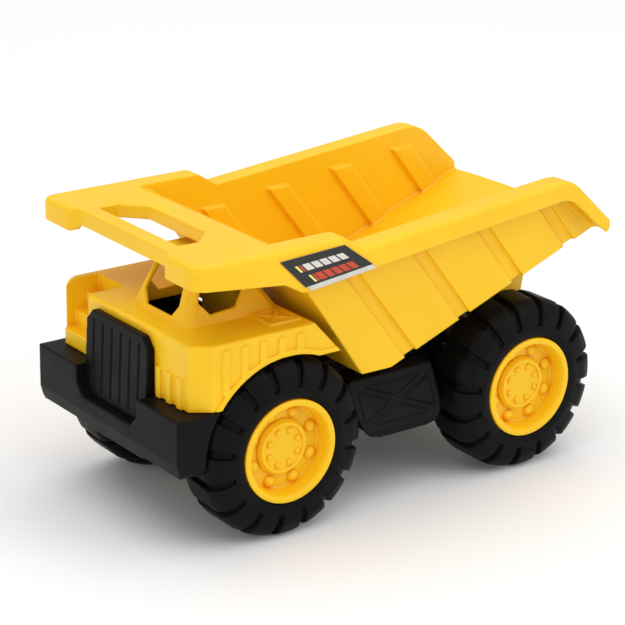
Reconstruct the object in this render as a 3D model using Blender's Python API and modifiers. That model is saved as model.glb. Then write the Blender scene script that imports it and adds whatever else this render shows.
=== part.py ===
"""Toy dump truck with a tipping bed and four free wheels.

Metres, +Z up. The front faces -Y and the truck's left side is +X. Lengths along Y are
counted from the front axle; the empty "truck" carries everything to the row's origin,
the middle of the footprint at ground level.
"""

import math

import bmesh
import bpy
from mathutils import Matrix, Vector

# Wheels
TYRE_RADIUS = 0.0500
TYRE_HALF_WIDTH = 0.0180
RIM_RADIUS = 0.0290
LUGS = 16
GROOVE_WIDTH = 0.0038
GROOVE_DEPTH = 0.0030
WHEEL_STEPS = 32
WHEELBASE = 0.1660
HALF_TRACK = 0.0570
AXLE_RADIUS = 0.0020
AXLE_HALF_LENGTH = 0.0666
RUNNING_GAP = 0.00009
BOLT_COUNT = 8

# Mouldings
WALL = 0.0023
GAP = 0.0003
BUMPER_FRONT = -0.0680
BUMPER_HALF = 0.0700
BUMPER_TOP = 0.0800
CHASSIS_HALF = 0.0355
CHASSIS_TOP = 0.0780
CHASSIS_BOTTOM = 0.0400
CHASSIS_REAR = 0.2000

# Cab
CAB_FRONT = -0.0560
CAB_HALF = 0.0685
CAB_BASE = BUMPER_TOP + GAP
DECK_Z = 0.1163
DECK_REAR = 0.0195
ARCH_RADIUS = 0.0520
ARCH_Y = 0.0015
ARCH_TIP_Z = 0.0980
TRIM_HEIGHT = 0.0016
STAIR_RISE = 0.0090
STAIR_RUN = 0.0076
STAIR_COUNT = 4
CABIN_CENTRE = 0.0122
CABIN_ROOF = 0.1500

# Bed
HOPPER_HALF = 0.0645
RIM_HALF = 0.0760
FLOOR_START = (0.0740, 0.0784)
FLOOR_SLOPE = 0.383
HEADBOARD_FOOT = (0.0540, 0.0786)
HEADBOARD_LEAN = -0.69
RIM_START = (0.0450, 0.1550)
RIM_SLOPE = 0.0955
RIM_APEX_Y = 0.1900
RIM_EDGE_ROUND = 0.0028
CANOPY_FRONT = -0.0615
CANOPY_CORNER = 0.0070
CANOPY_Z = 0.1630
TAIL_Y = 0.2200
TAIL_BOW = 0.0020
BED_RIBS = 4
BED_RIB_FIRST = 0.0284
BED_RIB_PITCH = 0.0487
BED_RIB_WIDTH = 0.0143
BED_RIB_LEAN = -0.78
BED_RIB_DEPTH = 0.0025
RIB_LEVEL = 0.1500
HINGE = (0.1880, 0.0845)
HINGE_PIN_RADIUS = 0.0015

# Screws that hold the cab
SCREW_PLACES = [(-0.020, -0.046), (0.020, -0.046), (-0.026, 0.0125), (0.026, 0.0125)]

FRONT_AXLE_Y = -(BUMPER_FRONT + TAIL_Y + TAIL_BOW) / 2

YELLOW = (0.955, 0.560, 0.020)
BLACK = (0.018, 0.018, 0.020)
STEEL = (0.600, 0.600, 0.620)
LABEL_INK = (0.030, 0.028, 0.026)

for old in list(bpy.data.objects):
    bpy.data.objects.remove(old, do_unlink=True)

PARTS = bpy.data.collections.new("toy_dump_truck")
CUTTERS = bpy.data.collections.new("cutters")
bpy.context.scene.collection.children.link(PARTS)
bpy.context.scene.collection.children.link(CUTTERS)
CUTTERS.hide_render = True


def material(name, colour, roughness, metallic=0.0):
    made = bpy.data.materials.new(name)
    made.use_nodes = True
    shader = made.node_tree.nodes["Principled BSDF"]
    shader.inputs["Base Color"].default_value = (*colour, 1)
    shader.inputs["Roughness"].default_value = roughness
    shader.inputs["Metallic"].default_value = metallic
    return made


def empty(name, location, parent=None, rotation=(0, 0, 0)):
    made = bpy.data.objects.new(name, None)
    made.location = location
    made.rotation_euler = rotation
    made.parent = parent
    PARTS.objects.link(made)
    return made


TRUCK = empty("truck", (0, FRONT_AXLE_Y, 0))
AXES = {
    "X": Matrix(((0, 0, 1), (1, 0, 0), (0, 1, 0))),
    "Y": Matrix(((1, 0, 0), (0, 0, -1), (0, 1, 0))),
    "Z": Matrix.Identity(3),
}


def tidy_mesh(mesh):
    """Welds a mesh, turns its normals out and joins coplanar triangles."""
    bm = bmesh.new()
    bm.from_mesh(mesh)
    bmesh.ops.remove_doubles(bm, verts=bm.verts, dist=1e-6)
    flat = math.radians(0.05)
    bmesh.ops.dissolve_limit(bm, angle_limit=flat, verts=bm.verts, edges=bm.edges)
    bmesh.ops.recalc_face_normals(bm, faces=bm.faces)
    bm.to_mesh(mesh)
    bm.free()


def outline_mesh(name, points, low, high, axis):
    """A flat outline run along an axis from low to high. Pairs are YZ for X, XZ for Y and XY for Z."""
    curve = bpy.data.curves.new(name, "CURVE")
    curve.dimensions = "2D"
    curve.fill_mode = "BOTH"
    curve.extrude = (high - low) / 2
    spline = curve.splines.new("POLY")
    spline.points.add(len(points) - 1)
    for point, (u, v) in zip(spline.points, points):
        point.co = (u, v, 0, 1)
    spline.use_cyclic_u = True
    helper = bpy.data.objects.new(name, curve)
    bpy.context.scene.collection.objects.link(helper)
    graph = bpy.context.evaluated_depsgraph_get()
    mesh = bpy.data.meshes.new_from_object(helper.evaluated_get(graph))
    bpy.data.objects.remove(helper)
    bpy.data.curves.remove(curve)
    mesh.transform(AXES[axis].to_4x4())
    shift = Vector((0, 0, 0))
    shift["XYZ".index(axis)] = (low + high) / 2
    mesh.transform(Matrix.Translation(shift))
    tidy_mesh(mesh)
    mesh.name = name
    return mesh


def box_mesh(name, low, high):
    bm = bmesh.new()
    bmesh.ops.create_cube(bm, size=1)
    for vert in bm.verts:
        vert.co = [lo + (c + 0.5) * (hi - lo) for c, lo, hi in zip(vert.co, low, high)]
    mesh = bpy.data.meshes.new(name)
    bm.to_mesh(mesh)
    bm.free()
    return mesh


def rod_mesh(name, radius, low, high, axis, centre, steps=16, tip=None):
    """A rod along an axis, centred on the other two coordinates; tip is a smaller far radius."""
    bm = bmesh.new()
    far = radius if tip is None else tip
    bmesh.ops.create_cone(
        bm, cap_ends=True, segments=steps, radius1=radius, radius2=far, depth=high - low
    )
    mesh = bpy.data.meshes.new(name)
    bm.to_mesh(mesh)
    bm.free()
    mesh.transform(AXES[axis].to_4x4())
    shift = list(centre)
    shift.insert("XYZ".index(axis), (low + high) / 2)
    mesh.transform(Matrix.Translation(shift))
    tidy_mesh(mesh)
    return mesh


def taper_mesh(name, base, base_z, top, top_z, edge_bevel=0):
    """A box whose rectangle (x0, x1, y0, y1) changes from the base to the top."""
    bm = bmesh.new()
    bmesh.ops.create_cube(bm, size=1)
    for vert in bm.verts:
        x0, x1, y0, y1 = top if vert.co.z > 0 else base
        vert.co = (
            x1 if vert.co.x > 0 else x0,
            y1 if vert.co.y > 0 else y0,
            top_z if vert.co.z > 0 else base_z,
        )
    if edge_bevel:
        uprights = [e for e in bm.edges if abs(e.verts[0].co.z - e.verts[1].co.z) > 0.001]
        bmesh.ops.bevel(
            bm, geom=uprights, offset=edge_bevel, segments=1, affect="EDGES", profile=0.5
        )
    mesh = bpy.data.meshes.new(name)
    bm.to_mesh(mesh)
    bm.free()
    return mesh


def merged_mesh(name, meshes):
    """Separate meshes in one, for a tool with several disjoint pieces."""
    bm = bmesh.new()
    for mesh in meshes:
        bm.from_mesh(mesh)
        bpy.data.meshes.remove(mesh)
    mesh = bpy.data.meshes.new(name)
    bm.to_mesh(mesh)
    bm.free()
    return mesh


def mirrored(mesh):
    """The same mesh on the truck's other side."""
    other = mesh.copy()
    other.transform(Matrix.Scale(-1, 4, (1, 0, 0)))
    other.flip_normals()
    return other


def both_sides(mesh):
    return merged_mesh(mesh.name, [mirrored(mesh), mesh])


def part(name, mesh, look, parent=TRUCK, origin=(0, 0, 0)):
    """A named piece whose object origin is moved to the given point."""
    if Vector(origin).length:
        mesh.transform(Matrix.Translation(-Vector(origin)))
    made = bpy.data.objects.new(name, mesh)
    made.location = Vector(origin) if parent is TRUCK else (0, 0, 0)
    made.parent = parent
    mesh.materials.clear()
    mesh.materials.append(look)
    PARTS.objects.link(made)
    return made


def shape(target, operation, mesh):
    """Joins a mesh to a piece or cuts it away. The tool shares the piece's vehicle frame."""
    tool = bpy.data.objects.new("tool_" + mesh.name, mesh)
    tool.parent = TRUCK
    tool.hide_render = True
    tool.display_type = "WIRE"
    CUTTERS.objects.link(tool)
    modifier = target.modifiers.new(operation.lower(), "BOOLEAN")
    modifier.operation = operation
    modifier.solver = "EXACT"
    modifier.object = tool
    return tool


def join(target, mesh):
    return shape(target, "UNION", mesh)


def cut(target, mesh):
    return shape(target, "DIFFERENCE", mesh)


def keep_within(target, mesh):
    return shape(target, "INTERSECT", mesh)


def settled(obj):
    """The evaluated mesh of an object, in its own frame, and the object removed."""
    bpy.context.view_layer.update()
    graph = bpy.context.evaluated_depsgraph_get()
    mesh = bpy.data.meshes.new_from_object(obj.evaluated_get(graph))
    bpy.data.objects.remove(obj)
    return mesh


def rounded(points, steps=3):
    """An outline whose corners (u, v, radius) become arcs; a radius of 0 leaves the corner."""
    made = []
    count = len(points)
    for i, (u, v, radius) in enumerate(points):
        if not radius:
            made.append((u, v))
            continue
        here = Vector((u, v))
        to_last = (Vector(points[i - 1][:2]) - here).normalized()
        to_next = (Vector(points[(i + 1) % count][:2]) - here).normalized()
        half = to_last.angle(to_next) / 2
        reach = radius / math.tan(half)
        centre = here + (to_last + to_next).normalized() * radius / math.sin(half)
        start = here + to_last * reach - centre
        turn = (here + to_next * reach - centre).angle_signed(start)
        for step in range(steps + 1):
            spoke = Matrix.Rotation(turn * step / steps, 2) @ start
            made.append(tuple(centre + spoke))
    return made


def arc(centre, radius, start, end, steps):
    """Points on an arc, in degrees from +U."""
    angles = [math.radians(start + (end - start) * i / steps) for i in range(steps + 1)]
    return [(centre[0] + radius * math.cos(a), centre[1] + radius * math.sin(a)) for a in angles]


def round_top_edges(mesh, width):
    """Rounds over every edge between an upward face and an upright one."""
    bm = bmesh.new()
    bm.from_mesh(mesh)
    rims = []
    for edge in bm.edges:
        lifts = sorted(abs(face.normal.z) if face.normal.z > -0.2 else -1 for face in edge.link_faces)
        if len(lifts) == 2 and -1 < lifts[0] < 0.2 and lifts[1] > 0.5:
            rims.append(edge)
    bmesh.ops.bevel(bm, geom=rims, offset=width, segments=2, affect="EDGES", profile=0.5)
    bm.to_mesh(mesh)
    bm.free()
    return mesh


def braces(width, height, frame, bar):
    """The four triangles left between a panel's frame and its X, in panel coordinates."""
    w = width / 2
    h = height / 2
    inner_w = w - frame
    inner_h = h - frame
    slant = math.hypot(w, h)
    over_w = bar / 2 * slant / h
    over_h = bar / 2 * slant / w
    top = [(0, over_h), (inner_w - over_w, inner_h), (-inner_w + over_w, inner_h)]
    side = [(over_w, 0), (inner_w, inner_h - over_h), (inner_w, -inner_h + over_h)]
    below = [(u, -v) for u, v in reversed(top)]
    far = [(-u, v) for u, v in reversed(side)]
    return [top, side, below, far]


# ---------------------------------------------------------------- chassis


def step_mesh():
    """The left side step: a hollow box with a slanted, X-braced face and round lower corners."""
    front, rear = 0.0540, 0.1120
    top, bottom = 0.0700, 0.0395
    section = [(0.034, top), (0.052, top), (0.066, 0.0425), (0.066, bottom), (0.034, bottom)]
    step = part("step_solid", outline_mesh("step", section, front, rear, "Y"), BLACK_PLASTIC)
    side = [(front, bottom, 0.012), (rear, bottom, 0.012), (rear, 0.08, 0), (front, 0.08, 0)]
    keep_within(step, outline_mesh("step_side", rounded(side), 0.02, 0.08, "X"))
    hollow = [
        (CHASSIS_HALF + 0.001, top - WALL), (0.0508, top - WALL), (0.0632, 0.0438), (0.0632, 0.03),
        (CHASSIS_HALF + 0.001, 0.03),
    ]
    cut(step, outline_mesh("step_hollow", hollow, front + WALL, rear - WALL, "Y"))
    run = Vector((0.066 - 0.052, 0, 0.0425 - top))
    tilt = Matrix.Rotation(math.atan2(run.x, -run.z), 4, "Y").inverted()
    middle = Vector((0.059, (front + rear) / 2, (top + 0.0425) / 2))
    for triangle in braces(rear - front, run.length, 0.0045, 0.0036):
        recess = outline_mesh("step_recess", triangle, -0.0008, 0.004, "X")
        recess.transform(tilt)
        recess.transform(Matrix.Translation(middle))
        cut(step, recess)
    return settled(step)


def wheel_room(name):
    """The disc that the left front wheel needs, with room to spin."""
    return rod_mesh(name, ARCH_RADIUS, CHASSIS_HALF + GAP, 0.08, "X", (ARCH_Y, TYRE_RADIUS), 48)


def bumper_mesh():
    """The front bumper: a shell open below, notched for the grille."""
    bottom, back = 0.0458, -0.0400
    section = [
        (BUMPER_FRONT, BUMPER_TOP, 0), (BUMPER_FRONT, 0.0556, 0), (-0.0652, bottom, 0.0015),
        (back, bottom, 0), (back, BUMPER_TOP, 0),
    ]
    outline = outline_mesh("bumper", rounded(section, 2), -BUMPER_HALF, BUMPER_HALF, "X")
    bumper = part("bumper_solid", outline, BLACK_PLASTIC)
    face = [
        (-BUMPER_HALF - 0.001, 0.09, 0), (BUMPER_HALF + 0.001, 0.09, 0),
        (BUMPER_HALF + 0.001, bottom - 0.001, 0.009), (-BUMPER_HALF - 0.001, bottom - 0.001, 0.009),
    ]
    keep_within(bumper, outline_mesh("bumper_face", rounded(face), -0.08, -0.04, "Y"))
    cut(bumper, both_sides(wheel_room("bumper_wheel_room")))
    nose_half = CHASSIS_HALF - 0.0005
    cut(bumper, box_mesh("bumper_nose", (-nose_half, -0.0526, 0.03), (nose_half, -0.03, 0.09)))
    notch = [
        (-0.030, 0.1), (-0.030, 0.070), (-0.024, 0.0635), (0.024, 0.0635), (0.030, 0.070), (0.030, 0.1)
    ]
    cut(bumper, outline_mesh("bumper_notch", notch, -0.08, CAB_FRONT, "Y"))
    pocket = box_mesh("bumper_pocket", (0.0325, -0.0655, 0.03), (0.0675, -0.0550, 0.0775))
    cut(bumper, both_sides(pocket))
    return settled(bumper)


def make_chassis():
    side = [
        (-0.0540, 0.0490), (-0.0540, CHASSIS_TOP), (CHASSIS_REAR, CHASSIS_TOP), (CHASSIS_REAR, 0.0520),
        (0.1880, CHASSIS_BOTTOM), (-0.0300, CHASSIS_BOTTOM),
    ]
    tub = outline_mesh("chassis_frame", side, -CHASSIS_HALF, CHASSIS_HALF, "X")
    chassis = part("chassis_frame", tub, BLACK_PLASTIC)
    inner_half = CHASSIS_HALF - WALL
    inside_low = (-inner_half, -0.0516, 0.03)
    inside_high = (inner_half, CHASSIS_REAR - WALL, CHASSIS_TOP - WALL)
    belly_half = CHASSIS_HALF - 0.001
    belly = box_mesh(
        "belly", (-belly_half, 0.068, CHASSIS_BOTTOM - GAP), (belly_half, 0.098, CHASSIS_BOTTOM + WALL)
    )
    join(chassis, bumper_mesh())
    join(chassis, both_sides(step_mesh()))
    cut(chassis, box_mesh("chassis_hollow", inside_low, inside_high))
    join(chassis, belly)
    ear = rounded([
        (0.1740, CHASSIS_TOP - 0.002, 0), (0.1985, CHASSIS_TOP - 0.002, 0),
        (0.1945, HINGE[1] + 0.0052, 0.005), (0.1815, HINGE[1] + 0.0052, 0.005),
    ])
    join(chassis, both_sides(outline_mesh("ear", ear, 0.0315, CHASSIS_HALF - 0.0003, "X")))
    for axle_y in (0, WHEELBASE):
        centre = (axle_y, TYRE_RADIUS)
        cut(chassis, rod_mesh("axle_hole", AXLE_RADIUS + RUNNING_GAP, -0.05, 0.05, "X", centre))
    cut(chassis, rod_mesh("pin_hole", HINGE_PIN_RADIUS + RUNNING_GAP, -0.05, 0.05, "X", HINGE, 12))
    for x, y in SCREW_PLACES:
        hole = rod_mesh("screw_hole", 0.0017, CHASSIS_TOP - 0.006, CHASSIS_TOP + 0.003, "Z", (x, y), 12)
        cut(chassis, hole)
    return chassis




def make_grille():
    """The radiator grille, leaning back against the cab's front, with upright flutes."""
    low, high = 0.0638, 0.1118
    outline = [
        (-0.0250, high), (-0.0304, 0.1056), (-0.0304, CAB_BASE + GAP), (-0.0297, BUMPER_TOP),
        (-0.0297, 0.0705), (-0.0237, low), (0.0237, low), (0.0297, 0.0705), (0.0297, BUMPER_TOP),
        (0.0304, CAB_BASE + GAP), (0.0304, 0.1056), (0.0250, high),
    ]
    back = CAB_FRONT - GAP
    grille = part("radiator_grille", outline_mesh("grille", outline, -0.070, back, "Y"), BLACK_PLASTIC)
    lean = [(-0.08, 0.05), (-0.0627, 0.05), (-0.0627, low), (-0.0604, high), (-0.0604, 0.12), (-0.08, 0.12)]
    cut(grille, outline_mesh("grille_front", lean, -0.05, 0.05, "X"))
    groove = [(-0.08, 0.0672), (-0.0617, 0.0672), (-0.0598, 0.1075), (-0.08, 0.1075)]
    flutes = []
    for i in range(6):
        x = (i - 2.5) * 0.0090
        flutes.append(outline_mesh("flute", groove, x - 0.0009, x + 0.0009, "X"))
    cut(grille, merged_mesh("flutes", flutes))
    return grille


# ---------------------------------------------------------------- cab


def arch_points(radius, low_z, high_z, steps):
    """The wheel arch from its rear end round to its front foot."""
    rise = high_z - TYRE_RADIUS
    fall = low_z - TYRE_RADIUS
    start = math.degrees(math.asin(rise / radius))
    end = 180 - math.degrees(math.asin(fall / radius))
    return arc((ARCH_Y, TYRE_RADIUS), radius, start, end, steps)


def stair_profile(drop):
    """The steps' outline from the front foot to the deck, lowered by drop."""
    points = []
    for i in range(STAIR_COUNT):
        y = CAB_FRONT + i * STAIR_RUN
        z = DECK_Z - (STAIR_COUNT - i) * STAIR_RISE
        points.append((y, z - drop))
        points.append((y, z + STAIR_RISE - drop))
    return points


def cabin_window_tools():
    x = CABIN_CENTRE - 0.0012
    front = [
        (x - 0.0120, 0.1183), (x + 0.0120, 0.1183), (x + 0.0165, 0.1250), (x + 0.0145, 0.1430),
        (x - 0.0145, 0.1430), (x - 0.0172, 0.1250),
    ]
    side = [
        (-0.0264, 0.1206), (-0.0103, 0.1218), (-0.0045, 0.1290), (-0.0085, 0.1430), (-0.0270, 0.1430),
        (-0.0328, 0.1278),
    ]
    return (
        outline_mesh("front_window", front, -0.055, -0.0265, "Y"),
        outline_mesh("side_windows", side, -0.040, 0.060, "X"),
    )


def make_cab():
    tip_z = ARCH_TIP_Z
    side = [
        (CAB_FRONT - 0.001, CAB_BASE), (CAB_FRONT - 0.001, DECK_Z), (DECK_REAR, DECK_Z), (0.0360, tip_z),
        (0.0360, 0.0950), (DECK_REAR, CAB_BASE),
    ]
    block = part("cab_block", outline_mesh("cab_block", side, -0.08, 0.08, "X"), YELLOW_PLASTIC)
    corner = [(CAB_HALF, -0.0457), (CAB_HALF - 0.0069, CAB_FRONT)]
    corner = [(CAB_HALF, 0.05)] + corner
    plan = corner + [(-x, y) for x, y in reversed(corner)]
    keep_within(block, outline_mesh("cab_plan", plan, 0.07, 0.13, "Z"))
    solid = settled(block)
    tidy_mesh(solid)
    cab = part("cab_shell", round_top_edges(solid, 0.0015), YELLOW_PLASTIC)
    arch = arch_points(ARCH_RADIUS, CAB_BASE, tip_z, 16)
    arch += [(arch[-1][0], 0.07), (0.06, 0.07), (0.06, tip_z)]
    cut(cab, both_sides(outline_mesh("wheel_arch", arch, CHASSIS_HALF + GAP, 0.08, "X")))
    # Hollow below the deck, clear of the stairs, and the open wings behind the bulkhead.
    inner_half = CAB_HALF - WALL
    ceiling = DECK_Z - WALL
    inner_front = CAB_FRONT + WALL
    bulkhead = DECK_REAR - WALL
    cut(cab, box_mesh("cab_hollow", (-0.0340, inner_front, 0.07), (inner_half - 0.0045, bulkhead, ceiling)))
    cut(cab, box_mesh("cab_left", (0.0330, -0.0420, 0.07), (inner_half, bulkhead, ceiling)))
    cut(cab, box_mesh("cab_right", (-inner_half, -0.0310, 0.07), (-0.0330, bulkhead, ceiling)))
    under_stairs = [
        (inner_front, 0.07), (inner_front, 0.0800), (-0.0320, 0.1052), (-0.0320, ceiling),
        (bulkhead, ceiling), (bulkhead, 0.07),
    ]
    cut(cab, outline_mesh("under_stairs", under_stairs, -0.0610, -0.0330, "X"))
    wings = box_mesh("cab_wings", (-inner_half, DECK_REAR, 0.07), (inner_half, 0.06, DECK_Z + 0.005))
    cut(cab, wings)
    # Stairs in the right front corner.
    stairs = stair_profile(0)[1:-1]
    stairs = [(CAB_FRONT - 0.01, stairs[0][1])] + stairs
    stairs += [(stairs[-1][0], DECK_Z + 0.01), (CAB_FRONT - 0.01, DECK_Z + 0.01)]
    cut(cab, outline_mesh("stairs", stairs, -0.0625, -0.0365, "X"))
    # Rounded front top corner of the stairs' outer wall.
    bite = [(CAB_FRONT - 0.01, DECK_Z + 0.01), (CAB_FRONT - 0.01, 0.1080), (CAB_FRONT, 0.1080)]
    bite += arc((CAB_FRONT + 0.008, DECK_Z - 0.008), 0.008, 175, 92, 4)
    bite += [(CAB_FRONT + 0.012, DECK_Z + 0.01)]
    cut(cab, outline_mesh("stair_wall_corner", bite, -0.08, -0.0600, "X"))
    add_cabin(cab)
    add_cab_trim(cab)
    add_cab_bosses(cab)
    return cab


def add_cabin(cab):
    """A tapering cabin, hollow down to the chassis, with a front window and two side windows."""
    half = 0.0283
    base = (CABIN_CENTRE - half, CABIN_CENTRE + half, -0.0430, 0.0180)
    top = (CABIN_CENTRE - 0.0163, CABIN_CENTRE + 0.0163, -0.0305, -0.0060)
    join(cab, taper_mesh("cabin", base, DECK_Z - 0.0012, top, CABIN_ROOF, 0.0035))
    low = 0.1100
    inner_base = (base[0] + 0.0004, base[1] - 0.0004, base[2] + 0.0003, bulkhead_face() - 0.0002)
    inner_top = (top[0] + 0.0020, top[1] - 0.0020, top[2] + 0.0018, top[3] - 0.0028)
    cut(cab, taper_mesh("cabin_hollow", inner_base, low, inner_top, CABIN_ROOF - WALL, 0.0025))
    front_window, side_windows = cabin_window_tools()
    cut(cab, front_window)
    cut(cab, side_windows)


def bulkhead_face():
    return DECK_REAR - WALL


def add_cab_trim(cab):
    """Ribs on the front and sides, the wheel arch lips and the braced hatch on the deck."""
    for i in range(3):
        x = 0.0325 + i * 0.0098
        low = (x, CAB_FRONT - TRIM_HEIGHT, CAB_BASE)
        rib = box_mesh("front_rib", low, (x + 0.0045, CAB_FRONT + 0.001, 0.0975))
        join(cab, rib)
    lip_width = 0.0030
    tip_z = ARCH_TIP_Z
    outer = CAB_HALF + TRIM_HEIGHT
    lip = arch_points(ARCH_RADIUS, CAB_BASE + 0.0003, tip_z + 0.0001, 16)
    lip += reversed(arch_points(ARCH_RADIUS + lip_width, CAB_BASE + 0.0003, tip_z + lip_width, 16))
    lip += [(0.0325, tip_z + lip_width), (0.0352, tip_z + 0.0001)]
    join(cab, both_sides(outline_mesh("arch_lip", lip, CAB_HALF - 0.001, outer, "X")))
    for i in range(5):
        y = -0.0400 + i * 0.0117
        reach = ARCH_RADIUS + lip_width / 2
        offset = min(abs(y - ARCH_Y), abs(y + 0.004 - ARCH_Y))
        low = TYRE_RADIUS + math.sqrt(reach**2 - offset**2)
        rib = box_mesh("side_rib", (CAB_HALF - 0.001, y, low), (outer - 0.0003, y + 0.0042, 0.1130))
        join(cab, both_sides(rib))
    hatch = box_mesh("hatch", (0.0400, -0.0040, DECK_Z - 0.001), (0.0600, 0.0160, DECK_Z + 0.0014))
    join(cab, hatch)
    for triangle in braces(0.0200, 0.0200, 0.0020, 0.0020):
        recess = outline_mesh("hatch_recess", triangle, DECK_Z + 0.0001, DECK_Z + 0.002, "Z")
        recess.transform(Matrix.Translation((0.0500, 0.0060, 0)))
        cut(cab, recess)


def add_cab_bosses(cab):
    """Four screw bosses, webbed to the front wall and to the bulkhead."""
    for x, y in SCREW_PLACES:
        wall = CAB_FRONT + 0.001 if y < 0 else DECK_REAR - 0.001
        low_y, high_y = sorted((wall, y))
        join(cab, box_mesh("web", (x - 0.0008, low_y, CAB_BASE + 0.0001), (x + 0.0008, high_y, 0.0960)))
        join(cab, rod_mesh("boss", 0.0034, CHASSIS_TOP + GAP, 0.0965, "Z", (x, y), 12))
        cut(cab, rod_mesh("boss_bore", 0.0015, CHASSIS_TOP - 0.002, 0.0900, "Z", (x, y), 12))


# ---------------------------------------------------------------- bed


def floor_z(y):
    return FLOOR_START[1] + FLOOR_SLOPE * (y - FLOOR_START[0])


def headboard_y(z):
    return HEADBOARD_FOOT[0] + HEADBOARD_LEAN * (z - HEADBOARD_FOOT[1])


def rim_z(y):
    return RIM_START[1] + RIM_SLOPE * (y - RIM_START[0])


def rim_top(steps=6):
    """The rim's top outline: level canopy, shoulder, rising rim, round apex and falling tail."""
    corners = [
        (CANOPY_FRONT - 0.001, CANOPY_Z, 0), (0.0320, CANOPY_Z, 0.003), (*RIM_START, 0.003),
        (RIM_APEX_Y, rim_z(RIM_APEX_Y), 0.022), (TAIL_Y - 0.0005, 0.1410, 0.006), (TAIL_Y, 0.1354, 0),
    ]
    closed = corners + [(TAIL_Y, 0.1, 0), (CANOPY_FRONT - 0.001, 0.1, 0)]
    return rounded(closed, steps)[:-2]


def rim_bottom():
    """The skirt's lower outline, from the tail to the canopy's front."""
    return [
        (0.2180, 0.1328), (0.2085, 0.1398), (0.2010, 0.1470), (0.1905, 0.1556), (0.1835, 0.1572),
        (0.1760, 0.1562), (0.0540, 0.1426), (0.0060, 0.1374), (-0.0060, 0.1440),
        (CANOPY_FRONT - 0.001, 0.1502),
    ]


def canopy_plan(inset):
    """The rail's outline from above, with round front corners."""
    half, front, corner = RIM_HALF - inset, CANOPY_FRONT + inset, CANOPY_CORNER - inset
    corners = [(-half, front, corner), (half, front, corner), (half, 0.25, 0), (-half, 0.25, 0)]
    return rounded(corners, 6)


def make_bed():
    hopper = [HEADBOARD_FOOT, FLOOR_START, (TAIL_Y - 0.0005, floor_z(TAIL_Y - 0.0005))]
    hopper += [(y - 0.0012, z - 0.0012) for y, z in reversed(rim_top(4)[1:])]
    hopper += [(-0.0105, CANOPY_Z - 0.0010), (headboard_y(0.1575), 0.1575)]
    mesh = outline_mesh("tipper_bed", hopper, -HOPPER_HALF, HOPPER_HALF, "X")
    bed = part("tipper_bed", mesh, YELLOW_PLASTIC, BED_PIVOT, PIVOT_POINT)
    outline = outline_mesh("rail", rim_top() + rim_bottom(), -0.08, 0.08, "X")
    rail = part("rail_block", outline, YELLOW_PLASTIC)
    keep_within(rail, outline_mesh("rail_plan", canopy_plan(0), 0.05, 0.20, "Z"))
    solid = settled(rail)
    tidy_mesh(solid)
    join(bed, round_top_edges(solid, RIM_EDGE_ROUND))
    # The load space, and the hollows under the canopy and the rims.
    sill = CANOPY_Z + 0.0002
    space = [
        (headboard_y(0.0808) + 0.0028, 0.0809), (FLOOR_START[0] - 0.0003, 0.0808),
        (0.26, floor_z(0.26) + 0.00245), (0.26, 0.25), (-0.0100, 0.25), (-0.0100, sill),
        (headboard_y(0.1575) + 0.0028, 0.1575),
    ]
    cut(bed, outline_mesh("load_space", space, -HOPPER_HALF + WALL, HOPPER_HALF - WALL, "X"))
    canopy = [
        (CANOPY_FRONT + WALL, 0.10), (CANOPY_FRONT + WALL, CANOPY_Z - WALL), (-0.0120, CANOPY_Z - WALL),
        (-0.0028, 0.1563), (headboard_y(0.10) - 0.0003, 0.10),
    ]
    inside = RIM_HALF - WALL
    hollow = part("canopy_room", outline_mesh("canopy_room", canopy, -inside, inside, "X"), YELLOW_PLASTIC)
    keep_within(hollow, outline_mesh("canopy_room_plan", canopy_plan(WALL), 0.05, 0.20, "Z"))
    cut(bed, settled(hollow))
    channel = [(y - 0.0016, z - WALL) for y, z in rim_top(4)[1:]]
    channel = [(-0.030, 0.10), (-0.030, CANOPY_Z - WALL)] + channel + [(channel[-1][0], 0.10)]
    cut(bed, both_sides(outline_mesh("rim_channel", channel, HOPPER_HALF + 0.0003, inside, "X")))
    add_bed_ribs(bed)
    add_handle(bed)
    add_bed_hinge(bed)
    # The floor's tail edge bows rearward between the walls.
    tail_half = HOPPER_HALF - WALL
    bow = (tail_half**2 + TAIL_BOW**2) / (2 * TAIL_BOW)
    spread = math.degrees(math.asin(tail_half / bow))
    edge = arc((0, TAIL_Y + TAIL_BOW - bow), bow, 90 + spread, 90 - spread, 8)
    lip = outline_mesh("tail_lip", edge + [(tail_half, 0.19), (-tail_half, 0.19)], 0.05, 0.20, "Z")
    slab = [
        (0.200, floor_z(0.200) + 0.0002), (0.24, floor_z(0.24) + 0.0002), (0.24, floor_z(0.24) + 0.0024),
        (0.200, floor_z(0.200) + 0.0024),
    ]
    reach = tail_half + 0.001
    lip_slab = part("lip_slab", outline_mesh("lip_slab", slab, -reach, reach, "X"), YELLOW_PLASTIC)
    keep_within(lip_slab, lip)
    join(bed, settled(lip_slab))
    return bed


def rib_outline(i, inset, low_drop, top_drop):
    """One slanted wall rib in side view; inset narrows it, the drops move its ends down."""
    near = BED_RIB_FIRST + i * BED_RIB_PITCH + inset
    far = BED_RIB_FIRST + i * BED_RIB_PITCH + BED_RIB_WIDTH - inset

    def foot(edge):
        level = floor_z(edge - BED_RIB_LEAN * RIB_LEVEL)
        z = (level + 0.0012 - low_drop) / (1 - FLOOR_SLOPE * BED_RIB_LEAN)
        return (edge + BED_RIB_LEAN * (z - RIB_LEVEL), z)

    top_z = rim_z(near) - 0.0112 - top_drop
    top = [(edge + BED_RIB_LEAN * (top_z - RIB_LEVEL), top_z) for edge in (far, near)]
    return [foot(near), foot(far)] + top


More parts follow.
